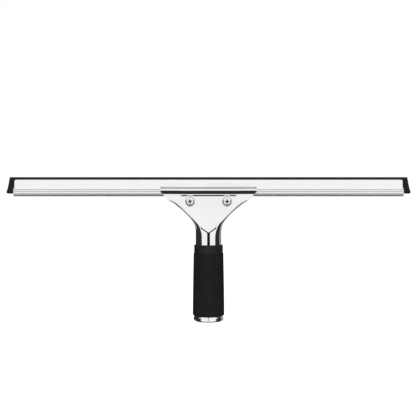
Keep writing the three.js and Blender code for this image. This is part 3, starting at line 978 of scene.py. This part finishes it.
def cut_thread(points, x, y_from, y_to):
    """Moves the shank's points inward along a helix, in place."""
    for p in points:
        radius = math.hypot(p[0] - x, p[2] - SCREW_Z)
        if not (y_from <= p[1] <= y_to) or radius > SHANK_RADIUS + 0.01:
            continue
        angle = math.atan2(p[2] - SCREW_Z, p[0] - x)
        phase = (p[1] / THREAD_PITCH + angle / (2 * math.pi)) % 1
        fade = smoothstep(y_from, y_from + 1, p[1]) * (1 - smoothstep(y_to - 0.5, y_to, p[1]))
        shrink = 1 - THREAD_DEPTH * fade * (1 - abs(2 * phase - 1)) / radius
        p[0] = x + (p[0] - x) * shrink
        p[2] = SCREW_Z + (p[2] - SCREW_Z) * shrink


def ring_section(inner, outer, low, high, corner, steps=3):
    """A rounded rectangle in (radius, y), as a closed loop."""
    loop = []
    for index, (r, y) in enumerate([(outer, high), (inner, high), (inner, low), (outer, low)]):
        centre = (r + (corner if r == inner else -corner), y + (corner if y == low else -corner))
        for step in range(steps + 1):
            angle = (index + step / steps) * math.pi / 2
            loop.append((centre[0] + corner * math.cos(angle), centre[1] + corner * math.sin(angle)))
    return loop


def washer(label, side):
    """A split spring washer, its two ends sprung slightly apart."""
    x = side * SCREW_X
    low = WASHER_LOW[1] + WASHER_FRONT_GAP
    high = WASHER_HIGH[1] - WASHER_BACK_GAP
    outer = WASHER_HIGH[0] - SCREW_X
    loop = ring_section(SHANK_RADIUS + 0.3, outer, low, high, 0.2)
    split = 0.12
    rows = []
    for angle in np.linspace(split, 2 * math.pi - split, 73):
        lift = 0.05 * (angle / math.pi - 1)
        rows.append(np.array([
            (x + r * math.cos(angle), y + lift, SCREW_Z + r * math.sin(angle)) for r, y in loop]))
    around = len(loop)
    faces = grid_faces(len(rows), around, wrap_columns=True)
    last = (len(rows) - 1) * around
    faces += [tuple(range(around)), tuple(range(last + around - 1, last - 1, -1))]
    ring = new_mesh(f"spring_washer_{label}_split", np.vstack(rows), faces, f"{label}_washer",
                    [f"spring_washer_{label}"], "spring_steel", SPRING)
    turn_outward(ring)
    soften_edges(ring, 0.05, angle=60, segments=2)


def nut(label, side):
    """A hexagon weld nut with chamfered corners and a chamfered bore."""
    x = side * SCREW_X
    corner = (NUT_HIGH[0] - NUT_LOW[0]) / 2
    low, high = NUT_LOW[1], NUT_HIGH[1]
    sides = 72
    angle = np.linspace(0, 2 * math.pi, sides, endpoint=False)
    flats = corner * math.cos(math.pi / 6)
    hexagon = flats / np.cos(angle % (math.pi / 3) - math.pi / 6)
    bore = SHANK_RADIUS + 0.05
    rows = []
    for y, limit in ((low, corner - 0.75), (low + 0.45, corner), (high - 0.45, corner),
                     (high, corner - 0.75)):
        rows.append(circle_points(x, SCREW_Z, np.minimum(hexagon, limit), y, angle))
    for y, radius in ((high, bore + 0.4), (high - 0.4, bore), (low + 0.4, bore),
                      (low, bore + 0.4)):
        rows.append(circle_points(x, SCREW_Z, radius, y, angle))
    faces = grid_faces(len(rows), sides, wrap_rows=True, wrap_columns=True)
    body = new_mesh(f"weld_nut_{label}_hexagon", np.vstack(rows), faces, "handle",
                    [f"weld_nut_{label}"], "screw_steel", PLATED)
    turn_outward(body)
    soften_edges(body, 0.12, angle=25, segments=2)


# ---------------------------------------------------------------- stage

# In metres.
CAMERA_DISTANCE = 0.80
CAMERA_X = -0.0006
VIEW_WIDTH = 0.474
CAMERA_HEIGHT = 0.128
FLOOR_DROP = 0.03


def stage():
    """A plain pale floor that the mirror-like steel doesn't show."""
    size = 6
    mesh = bpy.data.meshes.new("floor")
    z = cad_bounds[0].z - FLOOR_DROP
    mesh.from_pydata([(-size, -size, z), (size, -size, z), (size, size, z), (-size, size, z)],
                     [], [(0, 1, 2, 3)])
    material, n = material_nodes("pale_floor")
    speckle = n.noise((0.02, 0.02, 0.02))
    tint = n.blend(n.scaled(speckle, 0, 1), (0.90, 0.90, 0.90), (0.93, 0.93, 0.93))
    n.surface(Base_Color=tint, Roughness=0.9, Emission_Color=(1, 1, 1, 1),
              Emission_Strength=0.62)
    mesh.materials.append(material)
    floor = bpy.data.objects.new("floor", mesh)
    bpy.context.scene.collection.objects.link(floor)
    floor.visible_glossy = False
    floor.visible_diffuse = False


def studio():
    """A broad white screen in front, a white ceiling that dims towards the back, and two grey
    screens behind, one low and one to the right. The rest is nearly black, which draws the dark
    lines in the polished steel. The camera itself sees plain white."""
    world = bpy.data.worlds.new("studio")
    bpy.context.scene.world = world
    world.use_nodes = True
    n = Nodes(world.node_tree)
    direction = n.add("ShaderNodeTexCoord").outputs["Generated"]
    axes = n.add("ShaderNodeSeparateXYZ", {0: direction}).outputs
    low_edge = n.scaled(axes[2], 0, 1, -0.76, -0.68)
    front = n.math("MULTIPLY", n.scaled(axes[1], 1, 0, -0.50, -0.45), low_edge)
    ceiling = n.scaled(axes[1], 1.0, 0.42, 0.05, 0.20)
    above = n.math("MULTIPLY", n.scaled(axes[2], 0, 1, 0.30, 0.42), ceiling)
    right = n.scaled(axes[0], 0, 1, 0.30, 0.50)
    side = n.math("MULTIPLY", n.scaled(axes[1], 0, 0.32, 0.38, 0.46), right)
    low = n.scaled(axes[2], 1, 0, -0.24, -0.14)
    behind = n.math("MULTIPLY", n.scaled(axes[1], 0, 0.45, 0.35, 0.55), low)
    screens = n.math("MAXIMUM", n.math("MAXIMUM", front, above), n.math("MAXIMUM", side, behind))
    light = n.scaled(screens, 0.028, 1.0, 0, 1)
    studio_light = n.add("ShaderNodeBackground", {"Strength": light})
    backdrop = n.add("ShaderNodeBackground", {"Strength": 1.0})
    for background in (studio_light, backdrop):
        background.inputs["Color"].default_value = (1, 1, 1, 1)
    seen = n.add("ShaderNodeLightPath").outputs["Is Camera Ray"]
    mixed = n.add("ShaderNodeMixShader", {0: seen, 1: studio_light.outputs[0],
                                          2: backdrop.outputs[0]})
    n.add("ShaderNodeOutputWorld", {"Surface": mixed.outputs[0]})


def camera():
    """Level, square to the front, a little below the jaws."""
    data = bpy.data.cameras.new("camera")
    data.sensor_width = 36
    data.lens = data.sensor_width * CAMERA_DISTANCE / VIEW_WIDTH
    data.clip_end = 20
    obj = bpy.data.objects.new("camera", data)
    obj.location = (CAMERA_X, -CAMERA_DISTANCE, CAMERA_HEIGHT)
    obj.rotation_euler = Vector((0, 1, 0)).to_track_quat("-Z", "Y").to_euler()
    bpy.context.scene.collection.objects.link(obj)
    bpy.context.scene.camera = obj


# ---------------------------------------------------------------- assembly

handle_shell()
front_plate()
grip()
channel()
blade()
for label, side, cross_turn in (("left", -1, 0.35), ("right", 1, 0.0)):
    clip(label, side)
    screw(label, side, cross_turn)
    washer(label, side)
    nut(label, side)

stage()
studio()
camera()
bpy.context.scene.view_settings.view_transform = "Standard"
